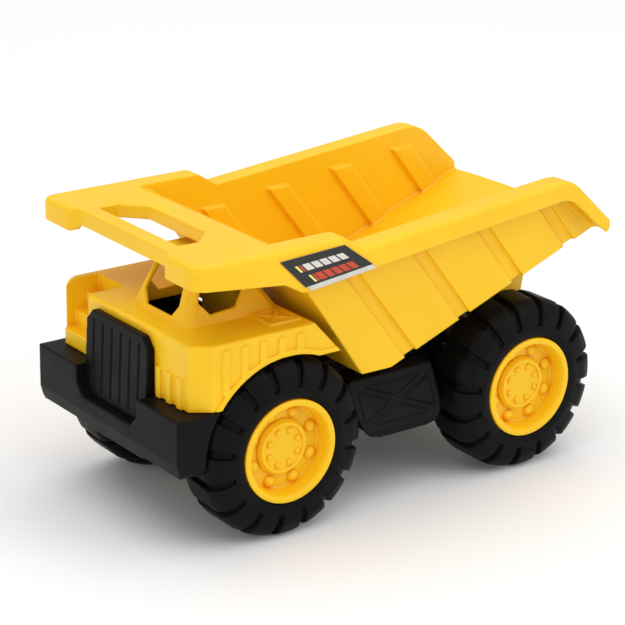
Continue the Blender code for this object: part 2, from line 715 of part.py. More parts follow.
def add_bed_ribs(bed):
    """Ribs inside the walls, with the matching grooves outside."""
    inner = HOPPER_HALF - WALL
    for i in range(BED_RIBS):
        outline = rib_outline(i, 0, 0, 0)
        rib = outline_mesh("wall_rib", outline, inner - BED_RIB_DEPTH, inner + 0.0008, "X")
        join(bed, both_sides(rib))
    for i in range(BED_RIBS):
        outline = rib_outline(i, 0.0023, 0.016, 0.0015)
        groove = outline_mesh("wall_groove", outline, HOPPER_HALF - BED_RIB_DEPTH, HOPPER_HALF + 0.0025, "X")
        cut(bed, both_sides(groove))


def add_handle(bed):
    """The hand slot through the canopy, with its collar, and the thinner front bar."""
    half, front, rear, corner = 0.0390, -0.0470, -0.0230, 0.0120

    def ring(grow):
        w = half + grow
        return [
            (-w, front - grow), (w, front - grow), (w, rear - corner + grow * 0.4),
            (half - corner + grow * 0.4, rear + grow), (-half + corner - grow * 0.4, rear + grow),
            (-w, rear - corner + grow * 0.4),
        ]

    join(bed, box_mesh("bar_wall", (-0.0500, -0.0600, 0.1504), (0.0500, -0.0547, CANOPY_Z - 0.0010)))
    join(bed, outline_mesh("slot_collar", ring(0.0022), CANOPY_Z - 0.0080, CANOPY_Z - 0.0010, "Z"))
    cut(bed, outline_mesh("slot", ring(0), 0.14, 0.18, "Z"))
    bar = [(-0.0460, 0.1300), (0.0460, 0.1300), (0.0460, 0.1500), (0.0420, 0.1540), (-0.0420, 0.1540)]
    bar.append((-0.0460, 0.1500))
    cut(bed, outline_mesh("front_bar", bar, -0.075, -0.0525, "Y"))
    recess = [(-0.0480, -0.0750), (0.0480, -0.0750), (0.0480, -0.0610), (0.0440, -0.0570), (-0.0440, -0.0570)]
    recess.append((-0.0480, -0.0610))
    cut(bed, outline_mesh("bar_recess", recess, 0.14, 0.17, "Z"))


def add_bed_hinge(bed):
    """Two lugs under the floor, inside the chassis ears."""
    y, z = HINGE
    lug = [
        (y - 0.0130, floor_z(y - 0.0130) + 0.0010, 0), (y - 0.0055, z - 0.0055, 0.005),
        (y + 0.0055, z - 0.0055, 0.005), (y + 0.0130, floor_z(y + 0.0130) + 0.0010, 0),
    ]
    join(bed, both_sides(outline_mesh("lug", rounded(lug), 0.0270, 0.0310, "X")))
    cut(bed, rod_mesh("lug_hole", HINGE_PIN_RADIUS + RUNNING_GAP, -0.05, 0.05, "X", HINGE, 12))


def make_label(name, side):
    """A thin sticker on the skirt beside the canopy's shoulder."""
    outline = [
        (-0.0100, 0.1574), (0.0312, 0.1594), (0.0500, 0.1455), (0.0528, 0.1430), (0.0105, 0.1383),
        (0.0066, 0.1408),
    ]
    near = RIM_HALF + 0.0002
    mesh = outline_mesh(name, outline, near, near + 0.0003, "X")
    if side < 0:
        mesh = mirrored(mesh)
    return part(name, mesh, LABEL_FILM, BED_PIVOT, PIVOT_POINT)


# ---------------------------------------------------------------- wheels


def turned(name, profile, look, steps=WHEEL_STEPS):
    """A profile of (radius, height) turned about Z; it runs down its outer side."""
    mesh = bpy.data.meshes.new(name)
    points = [(r, 0, h) for r, h in profile]
    edges = [(i, (i + 1) % len(points)) for i in range(len(points))]
    mesh.from_pydata(points, edges, [])
    made = part(name, mesh, look)
    screw = made.modifiers.new("turn", "SCREW")
    screw.steps = steps
    screw.render_steps = steps
    screw.use_merge_vertices = True
    screw.merge_threshold = 1e-5
    return made


def tyre_mesh():
    """A hollow tyre, open towards the rim, with grooves over the tread and shoulders."""
    r, w = TYRE_RADIUS, TYRE_HALF_WIDTH
    bead = RIM_RADIUS + 0.0002
    outer = [
        (bead, w), (0.0335, w), (0.0430, w - 0.0008), (0.0475, w - 0.0030), (r, w - 0.0062),
        (r, -w + 0.0062), (0.0475, -w + 0.0030), (0.0430, -w + 0.0008), (0.0335, -w), (bead, -w),
    ]
    inner = [(bead, -w + 0.0045), (0.0420, -w + 0.0045), (0.0445, -w + 0.0085)]
    inner += [(radius, -h) for radius, h in reversed(inner)]
    tyre = turned("tyre_solid", outer + inner, TYRE_RUBBER)
    depth = GROOVE_DEPTH
    bite = [
        (0.0360, w + 0.002), (0.0360, w - 0.0012), (0.0440, w - 0.0022), (r - depth, w - 0.0080),
        (r - depth, -w + 0.0080), (0.0440, -w + 0.0022), (0.0360, -w + 0.0012), (0.0360, -w - 0.002),
        (r + 0.003, -w - 0.002), (r + 0.003, w + 0.002),
    ]
    grooves = []
    for i in range(LUGS):
        tool = outline_mesh("groove", bite, -GROOVE_WIDTH / 2, GROOVE_WIDTH / 2, "Y")
        tool.transform(Matrix.Rotation(math.tau * (i + 0.5) / LUGS, 4, "Z"))
        grooves.append(tool)
    cut(tyre, merged_mesh("grooves", grooves))
    return settled(tyre)


def rim_mesh():
    """The outer rim half: lip, bowl, disc with domed bolts, and the hub tube."""
    w = TYRE_HALF_WIDTH
    bore = AXLE_RADIUS + RUNNING_GAP
    profile = [
        (0.0284, w), (RIM_RADIUS, w - 0.0008), (RIM_RADIUS, 0.0002), (RIM_RADIUS - 0.0020, 0.0002),
        (RIM_RADIUS - 0.0022, 0.0050), (0.0060, 0.0050), (0.0055, -w - 0.0015), (bore, -w - 0.0015),
        (bore, 0.0082), (0.0240, 0.0082), (0.0254, w - 0.0008), (0.0258, w),
    ]
    rim = turned("rim_solid", profile, YELLOW_PLASTIC)
    for i in range(BOLT_COUNT):
        angle = math.tau * (i + 0.5) / BOLT_COUNT
        centre = (0.0195 * math.cos(angle), 0.0195 * math.sin(angle))
        join(rim, rod_mesh("rim_bolt", 0.0034, 0.0070, 0.0098, "Z", centre, 8, 0.0022))
    return settled(rim)


def backing_mesh():
    """The inner rim half, a ring and disc that slides on the hub tube."""
    w = TYRE_HALF_WIDTH
    inner = 0.0063
    profile = [
        (RIM_RADIUS, -0.0002), (RIM_RADIUS, -w), (0.0252, -w), (0.0248, -w + 0.0030), (inner, -w + 0.0030),
        (inner, -w + 0.0055), (RIM_RADIUS - 0.0022, -w + 0.0055), (RIM_RADIUS - 0.0020, -0.0002),
    ]
    return settled(turned("backing_solid", profile, YELLOW_PLASTIC, 24))


def cap_mesh():
    """The hub cap: a stepped disc over the push nut, ringed with small studs."""
    profile = [
        (0.0000, 0.0112), (0.0142, 0.0112), (0.0156, 0.0104), (0.0156, 0.0085), (0.0062, 0.0085),
        (0.0062, 0.0102), (0.0000, 0.0102),
    ]
    mesh = bpy.data.meshes.new("cap")
    edges = [(i, i + 1) for i in range(len(profile) - 1)]
    mesh.from_pydata([(r, 0, h) for r, h in profile], edges, [])
    cap = part("cap_solid", mesh, YELLOW_PLASTIC)
    screw = cap.modifiers.new("turn", "SCREW")
    screw.steps = 24
    screw.render_steps = 24
    screw.use_merge_vertices = True
    screw.merge_threshold = 1e-5
    for i in range(BOLT_COUNT):
        angle = math.tau * (i + 0.5) / BOLT_COUNT
        centre = (0.0095 * math.cos(angle), 0.0095 * math.sin(angle))
        join(cap, rod_mesh("cap_stud", 0.0016, 0.0106, 0.0120, "Z", centre, 6, 0.0011))
    return settled(cap)


def nut_mesh(inner, outer, low, high):
    profile = [(outer, high), (outer, low), (inner, low), (inner, high)]
    return settled(turned("nut_solid", profile, BRIGHT_STEEL, 12))


WHEEL_PLACES = {
    "front_left": (1, 0),
    "front_right": (-1, 0),
    "rear_left": (1, WHEELBASE),
    "rear_right": (-1, WHEELBASE),
}


def make_wheels():
    pieces = {
        "tyre": (tyre_mesh(), TYRE_RUBBER),
        "wheel_rim": (rim_mesh(), YELLOW_PLASTIC),
        "rim_backing": (backing_mesh(), YELLOW_PLASTIC),
        "hub_cap": (cap_mesh(), YELLOW_PLASTIC),
        "axle_nut": (nut_mesh(AXLE_RADIUS + 0.00015, 0.0046, 0.0085, 0.0093), BRIGHT_STEEL),
    }
    for place, (side, y) in WHEEL_PLACES.items():
        centre = (side * HALF_TRACK, y, TYRE_RADIUS)
        hub = empty("wheel_" + place, centre, TRUCK, (0, side * math.pi / 2, 0))
        for kind, (mesh, look) in pieces.items():
            part(f"{kind}_{place}", mesh, look, hub)


def make_axles():
    for name, y in (("front_axle", 0), ("rear_axle", WHEELBASE)):
        centre = (y, TYRE_RADIUS)
        rod = rod_mesh(name, AXLE_RADIUS, -AXLE_HALF_LENGTH, AXLE_HALF_LENGTH, "X", centre)
        part(name, rod, BRIGHT_STEEL, TRUCK, (0, y, TYRE_RADIUS))


# ---------------------------------------------------------------- fasteners


def make_hinge_pin():
    half = 0.0378
    rod = rod_mesh("bed_hinge_pin", HINGE_PIN_RADIUS, -half, half, "X", HINGE, 12)
    part("bed_hinge_pin", rod, BRIGHT_STEEL, TRUCK, PIVOT_POINT)
    for name, side in (("pin_nut_left", 1), ("pin_nut_right", -1)):
        nut = nut_mesh(HINGE_PIN_RADIUS + 0.00015, 0.0036, 0.0362, 0.0370)
        seat = empty(name + "_seat", PIVOT_POINT, TRUCK, (0, side * math.pi / 2, 0))
        part(name, nut, BRIGHT_STEEL, seat)


def make_screws():
    """Self-tapping screws up through the chassis into the cab's bosses."""
    seat = CHASSIS_TOP - WALL - GAP
    profile = [(0.0, 0.0115), (0.0013, 0.0105), (0.0013, 0.0), (0.0029, 0.0), (0.0029, -0.0012)]
    profile += [(0.0018, -0.0022), (0.0, -0.0022)]
    for i, (x, y) in enumerate(SCREW_PLACES):
        mesh = bpy.data.meshes.new("screw")
        edges = [(k, k + 1) for k in range(len(profile) - 1)]
        mesh.from_pydata([(r, 0, h) for r, h in profile], edges, [])
        screw = part(f"cab_screw_{i + 1}", mesh, BRIGHT_STEEL)
        screw.location = (x, y, seat)
        turn = screw.modifiers.new("turn", "SCREW")
        turn.steps = 12
        turn.render_steps = 12
        turn.use_merge_vertices = True
        turn.merge_threshold = 1e-5


PIVOT_POINT = (0, *HINGE)
BED_PIVOT = empty("bed_pivot", PIVOT_POINT, TRUCK)
YELLOW_PLASTIC = material("yellow_plastic", YELLOW, 0.38)
BLACK_PLASTIC = material("black_plastic", BLACK, 0.45)
TYRE_RUBBER = material("tyre_rubber", BLACK, 0.55)
BRIGHT_STEEL = material("bright_steel", STEEL, 0.30, 1.0)
LABEL_FILM = material("label_film", LABEL_INK, 0.35)

bpy.context.view_layer.update()
make_chassis()
make_grille()
make_cab()
make_bed()
make_label("side_label_left", 1)
make_label("side_label_right", -1)
make_wheels()
make_axles()
make_hinge_pin()
make_screws()

for piece in PARTS.objects:
    if piece.type == "MESH":
        piece.data.shade_smooth()
        piece.data.set_sharp_from_angle(angle=math.radians(35))
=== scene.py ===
"""Looks of the toy dump truck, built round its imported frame. Metres, +Z up, the front faces -Y."""

import math

import bmesh
import bpy
from mathutils import Matrix, Vector


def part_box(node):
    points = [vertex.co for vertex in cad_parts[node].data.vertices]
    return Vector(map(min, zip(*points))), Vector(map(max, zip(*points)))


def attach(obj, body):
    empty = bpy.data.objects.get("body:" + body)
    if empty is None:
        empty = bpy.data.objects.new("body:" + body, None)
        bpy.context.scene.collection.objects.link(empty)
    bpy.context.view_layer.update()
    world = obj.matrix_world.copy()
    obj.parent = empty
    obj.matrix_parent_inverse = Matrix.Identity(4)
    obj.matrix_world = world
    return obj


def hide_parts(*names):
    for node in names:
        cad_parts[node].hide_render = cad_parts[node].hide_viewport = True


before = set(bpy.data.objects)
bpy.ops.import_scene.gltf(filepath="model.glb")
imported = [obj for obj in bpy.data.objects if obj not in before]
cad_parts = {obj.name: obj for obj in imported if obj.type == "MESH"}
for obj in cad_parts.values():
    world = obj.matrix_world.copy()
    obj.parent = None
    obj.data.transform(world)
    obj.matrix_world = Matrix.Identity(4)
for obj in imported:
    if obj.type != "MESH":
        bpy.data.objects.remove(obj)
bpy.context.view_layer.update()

# Camera
VIEW_AZIMUTH = math.radians(53.5)
VIEW_ELEVATION = math.radians(19.8)
VIEW_ROLL = math.radians(0.98)
VIEW_DISTANCE = 1.340
VIEW_TARGET = Vector((0, -0.0093, 0.0920))
LENS_MM = 137.9
SENSOR_MM = 36.0

# Stage
FLOOR_HALF = 3.0
WORLD_STRENGTH = 0.60
LIGHT_TARGET = Vector((0, 0, 0.08))

# Colours, linear
YELLOW = (0.945, 0.570, 0.008)
# Painted shade: the deeper orange laid into the yellow plastic's creases and recesses
YELLOW_PAINTED_SHADE = (0.900, 0.360, 0.003)
YELLOW_WORN = (0.985, 0.660, 0.050)
BLACK = (0.0045, 0.0045, 0.0050)
BLACK_WORN = (0.030, 0.030, 0.032)
TYRE_BLACK = (0.0035, 0.0035, 0.0038)
STEEL = (0.580, 0.580, 0.600)
FILM_WHITE = (0.720, 0.700, 0.640)
FILM_BLACK = (0.006, 0.005, 0.005)
FILM_ORANGE = (0.560, 0.055, 0.010)
FILM_CREAM = (0.880, 0.820, 0.260)
FILM_GREY = (0.620, 0.600, 0.540)

# Tyres. A groove starts at GROOVE_INNER and deepens outwards over FADE_LENGTH from FADE_START
LUGS = 16
GROOVE_DEPTH = 0.0030
GROOVE_SHALLOW = 0.55
GROOVE_HALF = 0.0024
GROOVE_WALL = 0.00025
GROOVE_SWEEP = 0.050
GROOVE_INNER = 0.0360
FADE_START = 0.0352
FADE_LENGTH = 0.0110

# Rims and hub caps. The heights are measured from the wheel's middle plane
RIM_STEPS = 96
RIM_DISC = 0.0082
BOLT_COUNT = 8
BOLT_RING = 0.0200
BOLT_RADIUS = 0.0036
BOLT_HEIGHT = 0.0026
BOLT_SINK = 0.0008
CAP_FACE = 0.0106
STUD_RING = 0.0098
STUD_RADIUS = 0.0018
STUD_HEIGHT = 0.0016
STUD_SINK = 0.0005

# Label: outlines as shares of its box, and rows and blocks as shares of its dark panel
LABEL_OUTLINE = ((0, 0.905), (0.656, 1), (1, 0.223), (0.326, 0))
PANEL_LOW_REAR = (0.955, 0.341)
PANEL_LOW_FRONT = (0.264, 0.118)
BLOCK_COUNT = 5
UPPER_ROW = (0.26, 0.50)
UPPER_START = 0.225
UPPER_PITCH = 0.130
UPPER_BLOCK = 0.105
LOWER_ROW = (0.65, 0.92)
LOWER_START = 0.260
LOWER_PITCH = 0.118
LOWER_BLOCK = 0.095
PANEL_PROUD = 0.00004
PRINT_PROUD = 0.00008
PRINT_SINK = 0.0001


# ---------------------------------------------------------------- materials


class Nodes:
    """A material's node tree with a short way to add and link nodes."""

    def __init__(self, name):
        self.material = bpy.data.materials.new(name)
        self.material.use_nodes = True
        self.tree = self.material.node_tree
        self.shader = self.tree.nodes["Principled BSDF"]
        self.place = self.add("ShaderNodeTexCoord").outputs["Object"]

    def add(self, kind, **values):
        node = self.tree.nodes.new(kind)
        for key, value in values.items():
            setattr(node, key, value)
        return node

    def link(self, source, target):
        self.tree.links.new(source, target)

    def noise(self, scale, detail=3.0, stretch=None):
        node = self.add("ShaderNodeTexNoise")
        node.inputs["Scale"].default_value = scale
        node.inputs["Detail"].default_value = detail
        place = self.place
        if stretch:
            mapping = self.add("ShaderNodeMapping")
            mapping.inputs["Scale"].default_value = stretch
            self.link(place, mapping.inputs["Vector"])
            place = mapping.outputs["Vector"]
        self.link(place, node.inputs["Vector"])
        return node.outputs["Fac"]

    def span(self, value, low, high, from_low=0.3, from_high=0.7):
        node = self.add("ShaderNodeMapRange")
        node.inputs["From Min"].default_value = from_low
        node.inputs["From Max"].default_value = from_high
        node.inputs["To Min"].default_value = low
        node.inputs["To Max"].default_value = high
        self.link(value, node.inputs["Value"])
        return node.outputs["Result"]

    def blend(self, factor, low, high):
        node = self.add("ShaderNodeMix", data_type="RGBA")
        self.link(factor, node.inputs["Factor"])
        for socket, value in ((node.inputs["A"], low), (node.inputs["B"], high)):
            if hasattr(value, "is_linked"):
                self.link(value, socket)
            else:
                socket.default_value = (*value, 1)
        return node.outputs["Result"]

    def edges(self, radius, low, high):
        """1 along sharp outside edges and 0 on flat ground."""
        rounded_normal = self.add("ShaderNodeBevel", samples=4)
        rounded_normal.inputs["Radius"].default_value = radius
        true_normal = self.add("ShaderNodeNewGeometry").outputs["Normal"]
        dot = self.add("ShaderNodeVectorMath", operation="DOT_PRODUCT")
        self.link(rounded_normal.outputs["Normal"], dot.inputs[0])
        self.link(true_normal, dot.inputs[1])
        return self.span(dot.outputs["Value"], 1.0, 0.0, low, high)

    def bump(self, height, strength, distance, normal=None):
        node = self.add("ShaderNodeBump")
        node.inputs["Strength"].default_value = strength
        node.inputs["Distance"].default_value = distance
        self.link(height, node.inputs["Height"])
        if normal:
            self.link(normal, node.inputs["Normal"])
        return node.outputs["Normal"]


def scaled(colour, factor):
    return tuple(min(c * factor, 1) for c in colour)


def plastic(name, colour, worn, roughness, grain, shine, glow=0.0, painted_shade=None):
    """Moulded plastic: faint flow marks, painted shade of a deeper colour in creases, a fine grain and
    rubbed edges.
    """
    look = Nodes(name)
    flow_and_shade = look.blend(look.span(look.noise(14), 0, 1), scaled(colour, 0.94), scaled(colour, 1.03))
    # Painted shade: an ambient occlusion mask blends the colour towards the deeper colour in creases,
    # recesses and under overhangs
    if painted_shade:
        shade_ao = look.add("ShaderNodeAmbientOcclusion", samples=6)
        shade_ao.inputs["Distance"].default_value = 0.005
        flow_and_shade = look.blend(look.span(shade_ao.outputs["AO"], 0, 1, 0.25, 0.85), painted_shade, flow_and_shade)
    rubbed = look.add("ShaderNodeMath", operation="MULTIPLY")
    look.link(look.edges(0.0004, 0.80, 0.99), rubbed.inputs[0])
    look.link(look.span(look.noise(90), 0.0, 0.35), rubbed.inputs[1])
    look.link(look.blend(rubbed.outputs["Value"], flow_and_shade, worn), look.shader.inputs["Base Color"])
    rough = look.span(look.noise(45, 5), roughness - 0.05, roughness + 0.07)
    look.link(rough, look.shader.inputs["Roughness"])
    ripple = look.bump(look.noise(70, 2), 0.10, 0.0003)
    fine = look.bump(look.noise(grain, 2), 0.22, 0.00006, ripple)
    look.link(fine, look.shader.inputs["Normal"])
    look.shader.inputs["Specular IOR Level"].default_value = shine
    if glow:
        look.shader.inputs["Subsurface Weight"].default_value = glow
        look.shader.inputs["Subsurface Radius"].default_value = (0.9, 0.45, 0.05)
        look.shader.inputs["Subsurface Scale"].default_value = 0.003
    return look.material


def tyre_plastic():
    """Hard tyre: its roughness varies at random over it, with dust in its pores."""
    look = Nodes("tyre_black")
    dust = look.span(look.noise(38, 6), 0, 0.7, 0.45, 0.8)
    look.link(look.blend(dust, TYRE_BLACK, scaled(TYRE_BLACK, 2.0)), look.shader.inputs["Base Color"])
    look.link(look.span(look.noise(60, 5), 0.36, 0.52), look.shader.inputs["Roughness"])
    ripple = look.bump(look.noise(120, 3), 0.14, 0.0003)
    fine = look.bump(look.noise(1500, 2), 0.35, 0.00008, ripple)
    look.link(fine, look.shader.inputs["Normal"])
    look.shader.inputs["Specular IOR Level"].default_value = 0.08
    return look.material


def steel(name, along):
    """Drawn steel with fine marks round or along its length."""
    look = Nodes(name)
    streak = look.noise(400, 4, along)
    look.link(look.blend(streak, scaled(STEEL, 0.8), STEEL), look.shader.inputs["Base Color"])
    look.link(look.span(streak, 0.24, 0.42), look.shader.inputs["Roughness"])
    look.link(look.bump(streak, 0.2, 0.00005), look.shader.inputs["Normal"])
    look.shader.inputs["Metallic"].default_value = 1.0
    return look.material


def film(name, colour, roughness):
    """Printed sticker film, slightly uneven where it has been pressed down."""
    look = Nodes(name)
    mottle = look.span(look.noise(220, 4), 0, 1)
    tint = look.blend(mottle, scaled(colour, 0.9), scaled(colour, 1.05))
    look.link(tint, look.shader.inputs["Base Color"])
    look.link(look.span(look.noise(80), roughness - 0.05, roughness + 0.1), look.shader.inputs["Roughness"])
    look.link(look.bump(look.noise(150), 0.1, 0.0002), look.shader.inputs["Normal"])
    return look.material


# ---------------------------------------------------------------- mesh tools


def new_object(name, mesh, look):
    made = bpy.data.objects.new(name, mesh)
    bpy.context.scene.collection.objects.link(made)
    mesh.materials.clear()
    mesh.materials.append(look)
    return made


def settle(obj, sharp_angle=None):
    """Applies an object's modifiers and shades it smooth, up to an angle if there is one."""
    bpy.context.view_layer.update()
    graph = bpy.context.evaluated_depsgraph_get()
    mesh = bpy.data.meshes.new_from_object(obj.evaluated_get(graph))
    obj.modifiers.clear()
    obj.data = mesh
    mesh.shade_smooth()
    if sharp_angle:
        mesh.set_sharp_from_angle(angle=math.radians(sharp_angle))


def refined(node, name, body, look, slot, voxel, softness, share):
    """A node's own shape as moulded plastic: its edges and inside corners are rounded over."""
    bm = bmesh.new()
    bm.from_mesh(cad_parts[node].data)
    bmesh.ops.remove_doubles(bm, verts=bm.verts, dist=1e-5)
    mesh = bpy.data.meshes.new(name)
    bm.to_mesh(mesh)
    bm.free()
    for attribute in ("custom_normal", "sharp_edge", "sharp_face"):
        if attribute in mesh.attributes:
            mesh.attributes.remove(mesh.attributes[attribute])
    made = new_object(name, mesh, look)
    remesh = made.modifiers.new("remesh", "REMESH")
    remesh.mode = "VOXEL"
    remesh.voxel_size = voxel
    smooth = made.modifiers.new("smooth", "SMOOTH")
    smooth.factor = 0.5
    smooth.iterations = softness
    thin = made.modifiers.new("thin", "DECIMATE")
    thin.ratio = share
    settle(made)
    made.data.materials.clear()
    made.data.materials.append(look)
    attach(made, body)
    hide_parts(node)
    return made


def rounded(points, steps=6):
    """An open outline (u, v, radius) whose inner corners become arcs."""
    made = [points[0][:2]]
    for i in range(1, len(points) - 1):
        u, v, radius = points[i]
        if not radius:
            made.append((u, v))
            continue
        here = Vector((u, v))
        to_last = (Vector(points[i - 1][:2]) - here).normalized()
        to_next = (Vector(points[i + 1][:2]) - here).normalized()
        half = to_last.angle(to_next) / 2
        reach = radius / math.tan(half)
        centre = here + (to_last + to_next).normalized() * radius / math.sin(half)
        start = here + to_last * reach - centre
        turn = (here + to_next * reach - centre).angle_signed(start)
        for step in range(steps + 1):
            made.append(tuple(centre + Matrix.Rotation(turn * step / steps, 2) @ start))
    made.append(points[-1][:2])
    return made


def lathe(name, profile, steps=RIM_STEPS, closed=True):
    """A (radius, height) outline turned about Z. An open outline ends on the axis."""
    bm = bmesh.new()
    rings = []
    for radius, height in profile:
        if radius < 1e-6:
            rings.append([bm.verts.new((0, 0, height))])
            continue
        angles = [math.tau * j / steps for j in range(steps)]
        rings.append([bm.verts.new((radius * math.cos(a), radius * math.sin(a), height)) for a in angles])
    pairs = list(zip(rings, rings[1:]))
    if closed:
        pairs.append((rings[-1], rings[0]))
    for upper, lower in pairs:
        for j in range(steps):
            k = (j + 1) % steps
            left = (upper[j % len(upper)], lower[j % len(lower)])
            right = (lower[k % len(lower)], upper[k % len(upper)])
            bm.faces.new(dict.fromkeys(left + right))
    bmesh.ops.recalc_face_normals(bm, faces=bm.faces)
    mesh = bpy.data.meshes.new(name)
    bm.to_mesh(mesh)
    bm.free()
    return mesh


def dome(radius, height, sink, place, steps=20):
    """A closed button with a rounded top, sunk a little into the face it stands on."""
    arc = [(radius * math.cos(a), height * math.sin(a)) for a in [math.pi / 2 * i / 5 for i in range(5)]]
    mesh = lathe("dome", [(0, -sink), (radius, -sink), *arc, (0, height)], steps, closed=False)
    mesh.transform(Matrix.Translation(place))
    return mesh


def united(base, tools):
    """A mesh joined with the others that overlap it."""
    holder = bpy.data.objects.new("holder", base)
    bpy.context.scene.collection.objects.link(holder)
    helpers = []
    for tool in tools:
        helper = bpy.data.objects.new("helper", tool)
        bpy.context.scene.collection.objects.link(helper)
        union = holder.modifiers.new("union", "BOOLEAN")
        union.operation = "UNION"
        union.object = helper
        helpers.append(helper)
    settle(holder, 35)
    mesh = holder.data
    for helper in [holder] + helpers:
        bpy.data.objects.remove(helper)
    return mesh


def ring_places(radius, height):
    for i in range(BOLT_COUNT):
        angle = math.tau * (i + 0.5) / BOLT_COUNT
        yield Vector((radius * math.cos(angle), radius * math.sin(angle), height))


def prism(name, corners, low, high):
    """A flat outline in YZ run along X."""
    bm = bmesh.new()
    near = [bm.verts.new((low, y, z)) for y, z in corners]
    far = [bm.verts.new((high, y, z)) for y, z in corners]
    bm.faces.new(near)
    bm.faces.new(far)
    for i in range(len(corners)):
        k = (i + 1) % len(corners)
        bm.faces.new((near[i], near[k], far[k], far[i]))
    bmesh.ops.recalc_face_normals(bm, faces=bm.faces)
    mesh = bpy.data.meshes.new(name)
    bm.to_mesh(mesh)
    bm.free()
    return mesh


# ---------------------------------------------------------------- wheels


def tyre_mesh(radius, half_width, bead):
    """The tyre's skin, with grooves sunk along its outline's normal, and an inner wall."""
    w = half_width
    side = [
        (bead, w - 0.0030, 0), (bead + 0.0004, w - 0.0004, 0.0012), (0.0335, w, 0.003),
        (0.0358, w - 0.0003, 0), (0.0364, w - 0.0004, 0),
        (0.0425, w - 0.0011, 0.012), (0.0478, w - 0.0040, 0.006), (radius, w - 0.0085, 0.006),
        (radius, 0, 0),
    ]
    outline = rounded(side, 5)
    outline = outline + [(r, -h) for r, h in reversed(outline[:-1])]
    seat = w - 0.0050
    inner = [(bead, -seat), (0.0420, -seat), (0.0440, 0), (0.0420, seat), (bead, seat)]
    pitch = math.tau * radius / LUGS
    # Each column is an offset from its groove's middle and its share of the groove's depth
    columns = [
        (0, 1), (GROOVE_HALF * 0.55, 1), (GROOVE_HALF - GROOVE_WALL, 0.94), (GROOVE_HALF, 0.5),
        (GROOVE_HALF + GROOVE_WALL, 0.12), (GROOVE_HALF + 2.4 * GROOVE_WALL, 0.03),
        (GROOVE_HALF + 5 * GROOVE_WALL, 0), (pitch * 0.32, 0), (pitch * 0.5, 0),
    ]
    columns = [(-offset, share) for offset, share in reversed(columns[1:-1])] + columns
    bm = bmesh.new()

    def ring(place, sink):
        """A ring of points round the axis, which its columns sink by their shares."""
        made = []
        for lug in range(LUGS):
            for offset, share in columns:
                angle = math.tau * (lug + 0.5) / LUGS + offset / radius + GROOVE_SWEEP * place.y / w
                point = place - sink * share
                made.append(bm.verts.new((point.x * math.cos(angle), point.x * math.sin(angle), point.y)))
        return made

    rings = []
    for i, (r, h) in enumerate(outline):
        before = Vector(outline[max(i - 1, 0)])
        after = Vector(outline[min(i + 1, len(outline) - 1)])
        run = (after - before).normalized()
        fade = min(max((r - FADE_START) / FADE_LENGTH, 0), 1)
        depth = GROOVE_DEPTH * (GROOVE_SHALLOW + (1 - GROOVE_SHALLOW) * fade) if r > GROOVE_INNER else 0
        rings.append(ring(Vector((r, h)), Vector((-run.y, run.x)) * depth))
    rings += [ring(Vector(place), Vector((0, 0))) for place in inner]
    count = len(rings[0])
    for upper, lower in zip(rings, rings[1:] + rings[:1]):
        for j in range(count):
            k = (j + 1) % count
            bm.faces.new((upper[j], lower[j], lower[k], upper[k]))
    bmesh.ops.recalc_face_normals(bm, faces=bm.faces)
    mesh = bpy.data.meshes.new("tyre")
    bm.to_mesh(mesh)
    bm.free()
    mesh.shade_smooth()
    mesh.set_sharp_from_angle(angle=math.radians(60))
    return mesh


def closed_loop(points):
    """A closed outline with its corners rounded. Its first corner stays sharp."""
    return rounded(points + points[:1], 5)[:-1]


def rim_mesh(w, rim_radius):
    """The outer half of the rim: a lip, a bowl and a disc with its bolts."""
    loop = [
        (rim_radius, 0.0003, 0), (rim_radius, w - 0.0002, 0.0008), (0.0280, w + 0.0002, 0.0006),
        (0.0257, w + 0.0002, 0.0008), (0.0247, w - 0.0022, 0.0010), (0.0238, RIM_DISC + 0.0008, 0.0008),
        (0.0228, RIM_DISC, 0.0008), (0.0165, RIM_DISC, 0), (0.0050, RIM_DISC, 0), (0.0050, 0.0052, 0),
        (rim_radius - 0.0022, 0.0052, 0), (rim_radius - 0.0022, 0.0003, 0),
    ]
    base = lathe("wheel_rim", closed_loop(loop))
    places = ring_places(BOLT_RING, RIM_DISC)
    return united(base, [dome(BOLT_RADIUS, BOLT_HEIGHT, BOLT_SINK, place) for place in places])


def tube_mesh(w):
    """The tube round the axle, from the disc to the wheel's inner side."""
    end = -w - 0.0015
    loop = [(0.0055, 0.0054, 0), (0.0055, end, 0.0005), (0.0022, end, 0.0003), (0.0022, 0.0054, 0)]
    return lathe("hub_tube", closed_loop(loop), 48)


def backing_mesh(w, rim_radius):
    """The inner half of the rim, with a flat web that ends at the tube."""
    loop = [
        (rim_radius, -0.0003, 0), (rim_radius - 0.0022, -0.0003, 0),
        (rim_radius - 0.0024, -w + 0.0062, 0.0008), (0.0063, -w + 0.0055, 0),
        (0.0063, -w + 0.0030, 0.0004), (0.0246, -w + 0.0030, 0.0010),
        (0.0252, -w, 0.0006), (rim_radius, -w, 0.0006),
    ]
    mesh = lathe("rim_backing", closed_loop(loop))
    mesh.shade_smooth()
    mesh.set_sharp_from_angle(angle=math.radians(35))
    return mesh


def cap_mesh():
    """The hub cap: a raised edge round a flat face with its ring of studs."""
    edge = CAP_FACE + 0.0010
    loop = [
        (0, CAP_FACE, 0), (0.0120, CAP_FACE, 0.0003), (0.0126, edge, 0.0004),
        (0.0142, edge, 0.0005), (0.0158, 0.0092, 0.0004), (0.0158, 0.0084, 0),
        (0.0062, 0.0084, 0), (0.0062, 0.0098, 0), (0, 0.0098, 0),
    ]
    base = lathe("hub_cap", rounded(loop, 4), closed=False)
    places = ring_places(STUD_RING, CAP_FACE)
    return united(base, [dome(STUD_RADIUS, STUD_HEIGHT, STUD_SINK, place, 14) for place in places])


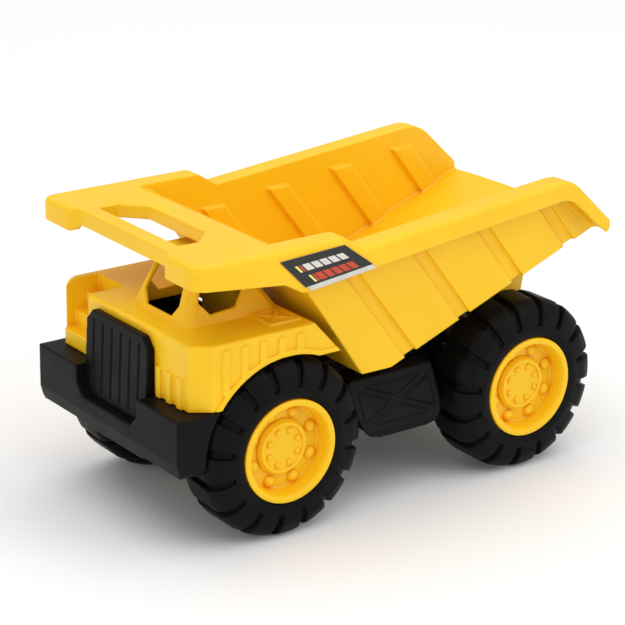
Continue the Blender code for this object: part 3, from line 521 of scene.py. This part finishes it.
def make_wheels(yellow, black):
    low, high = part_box("tyre_front_left")
    radius = (high.z - low.z) / 2
    half_width = (high.x - low.x) / 2
    rim_low, rim_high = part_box("rim_backing_front_left")
    rim_radius = (rim_high.z - rim_low.z) / 2
    meshes = {
        "tyre": (tyre_mesh(radius, half_width, rim_radius + 0.0002), black, "tyre_black"),
        "wheel_rim": (rim_mesh(half_width, rim_radius), yellow, "yellow_plastic"),
        "rim_backing": (backing_mesh(half_width, rim_radius), yellow, "yellow_plastic"),
        "hub_cap": (cap_mesh(), yellow, "yellow_plastic"),
        "hub_tube": (tube_mesh(half_width), yellow, "yellow_plastic"),
    }
    for place in ("front_left", "front_right", "rear_left", "rear_right"):
        low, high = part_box("tyre_" + place)
        centre = (low + high) / 2
        side = 1 if centre.x > 0 else -1
        for kind, (mesh, look, slot) in meshes.items():
            name = f"{kind}_{place}"
            made = new_object(name + "_skin", mesh, look)
            made.rotation_euler = (0, side * math.pi / 2, 0)
            made.location = centre
            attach(made, "wheel_" + place)
            if kind != "hub_tube":
                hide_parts(name)


# ---------------------------------------------------------------- label


def make_labels():
    """A dark printed panel on pale film, with two rows of plain slanted blocks."""
    film_grey = film("label_grey", FILM_GREY, 0.40)
    white = film("label_white", FILM_WHITE, 0.38)
    black = film("label_black", FILM_BLACK, 0.36)
    orange = film("label_orange", FILM_ORANGE, 0.38)
    cream = film("label_cream", FILM_CREAM, 0.38)
    low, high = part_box("side_label_left")

    def spot(along, up):
        return Vector((low.y + (high.y - low.y) * along, low.z + (high.z - low.z) * up))

    top_front, top_rear = spot(*LABEL_OUTLINE[0]), spot(*LABEL_OUTLINE[1])
    low_rear, low_front = spot(*PANEL_LOW_REAR), spot(*PANEL_LOW_FRONT)

    def patch(u0, u1, v0, v1):
        """A slanted piece of the panel, from u0 to u1 along it and from v0 to v1 down it."""
        corners = []
        for u, v in ((u0, v0), (u1, v0), (u1, v1), (u0, v1)):
            corners.append(tuple(top_front.lerp(top_rear, u).lerp(low_front.lerp(low_rear, u), v)))
        return corners

    def blocks(start, pitch, width, row):
        starts = [start + pitch * i for i in range(BLOCK_COUNT)]
        return [patch(u, u + width, *row) for u in starts]

    prints = (
        ("panel", [patch(0, 1, 0, 1)], black, PANEL_PROUD),
        ("upper", blocks(UPPER_START, UPPER_PITCH, UPPER_BLOCK, UPPER_ROW), white, PRINT_PROUD),
        ("lower", blocks(LOWER_START, LOWER_PITCH, LOWER_BLOCK, LOWER_ROW), orange, PRINT_PROUD),
        ("bar", [patch(0.170, 0.202, *UPPER_ROW), patch(0.215, 0.245, *LOWER_ROW)], orange, PRINT_PROUD),
        ("line", [patch(0.118, 0.152, *UPPER_ROW), patch(0.168, 0.200, *LOWER_ROW)], cream, PRINT_PROUD),
    )
    film_outline = [tuple(spot(*at)) for at in LABEL_OUTLINE]
    for side in (1, -1):
        hand = "left" if side > 0 else "right"
        base_mesh = prism(f"film_{hand}", film_outline, side * low.x, side * high.x)
        base = new_object(f"label_film_{hand}", base_mesh, film_grey)
        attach(base, "tipper")
        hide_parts("side_label_" + hand)
        for kind, outlines, look, proud in prints:
            for i, corners in enumerate(outlines):
                back, face = high.x - PRINT_SINK, high.x + proud
                mesh = prism(f"{kind}_{hand}", corners, side * back, side * face)
                made = new_object(f"label_{kind}_{hand}_{i + 1}", mesh, look)
                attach(made, "tipper")


# ---------------------------------------------------------------- stage


def area_light(name, place, size, power):
    data = bpy.data.lights.new(name, "AREA")
    data.shape = "RECTANGLE"
    data.size, data.size_y = size
    data.energy = power
    made = bpy.data.objects.new(name, data)
    made.location = place
    made.rotation_euler = (LIGHT_TARGET - Vector(place)).to_track_quat("-Z", "Y").to_euler()
    bpy.context.scene.collection.objects.link(made)


def make_stage():
    bm = bmesh.new()
    bmesh.ops.create_grid(bm, x_segments=1, y_segments=1, size=FLOOR_HALF)
    mesh = bpy.data.meshes.new("floor")
    bm.to_mesh(mesh)
    bm.free()
    look = Nodes("floor_paint")
    shade = look.span(look.noise(3), 0.925, 0.94)
    look.link(shade, look.shader.inputs["Base Color"])
    look.shader.inputs["Roughness"].default_value = 0.9
    look.shader.inputs["Specular IOR Level"].default_value = 0.1
    floor = new_object("floor", mesh, look.material)
    world = bpy.data.worlds.new("studio")
    world.use_nodes = True
    background = world.node_tree.nodes["Background"]
    background.inputs["Color"].default_value = (1, 1, 1, 1)
    background.inputs["Strength"].default_value = WORLD_STRENGTH
    bpy.context.scene.world = world
    area_light("overhead", place=(0, 0, 2.6), size=(4.0, 4.0), power=56)
    area_light("key", place=(1.7, 1.1, 1.15), size=(1.3, 1.0), power=9)
    area_light("front_fill", place=(0.9, -1.7, 0.5), size=(1.4, 0.8), power=5)
    bpy.context.scene.view_settings.view_transform = "Standard"


def make_camera():
    a, e, roll = VIEW_AZIMUTH, VIEW_ELEVATION, VIEW_ROLL
    back = Vector((math.sin(a) * math.cos(e), -math.cos(a) * math.cos(e), math.sin(e)))
    right = Vector((0, 0, 1)).cross(back).normalized()
    up = back.cross(right)
    turned_right = right * math.cos(roll) + up * math.sin(roll)
    turned_up = up * math.cos(roll) - right * math.sin(roll)
    data = bpy.data.cameras.new("camera")
    data.lens = LENS_MM
    data.sensor_width = SENSOR_MM
    made = bpy.data.objects.new("camera", data)
    axes = Matrix((turned_right, turned_up, back)).transposed().to_4x4()
    made.matrix_world = Matrix.Translation(VIEW_TARGET + back * VIEW_DISTANCE) @ axes
    bpy.context.scene.collection.objects.link(made)
    bpy.context.scene.camera = made


# ---------------------------------------------------------------- assembly

# The yellow plastic gets painted shade, a deeper orange, in its creases and recesses
yellow_plastic = plastic(
    "yellow_plastic", YELLOW, YELLOW_WORN,
    roughness=0.38, grain=1600, shine=0.30, glow=0.15, painted_shade=YELLOW_PAINTED_SHADE,
)
black_plastic = plastic("black_plastic", BLACK, BLACK_WORN, roughness=0.42, grain=1300, shine=0.09)
drawn_steel = steel("drawn_steel", along=(0.05, 1, 1))
plain_steel = steel("plain_steel", along=(1, 1, 1))

make_camera()
make_stage()
yellow = {"look": yellow_plastic, "slot": "yellow_plastic"}
black = {"look": black_plastic, "slot": "black_plastic"}
refined("tipper_bed", "bed_moulding", "tipper", **yellow, voxel=0.00060, softness=4, share=0.10)
refined("cab_shell", "cab_moulding", "chassis", **yellow, voxel=0.00040, softness=2, share=0.14)
refined("chassis_frame", "chassis_moulding", "chassis", **black, voxel=0.00060, softness=4, share=0.10)
refined("radiator_grille", "grille_moulding", "chassis", **black, voxel=0.00040, softness=4, share=0.20)
make_wheels(yellow_plastic, tyre_plastic())
make_labels()

for name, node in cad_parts.items():
    if "nut" in name or "screw" in name or name == "bed_hinge_pin" or name.endswith("_axle"):
        node.data.materials.clear()
        node.data.materials.append(drawn_steel if name.endswith(("axle", "pin")) else plain_steel)
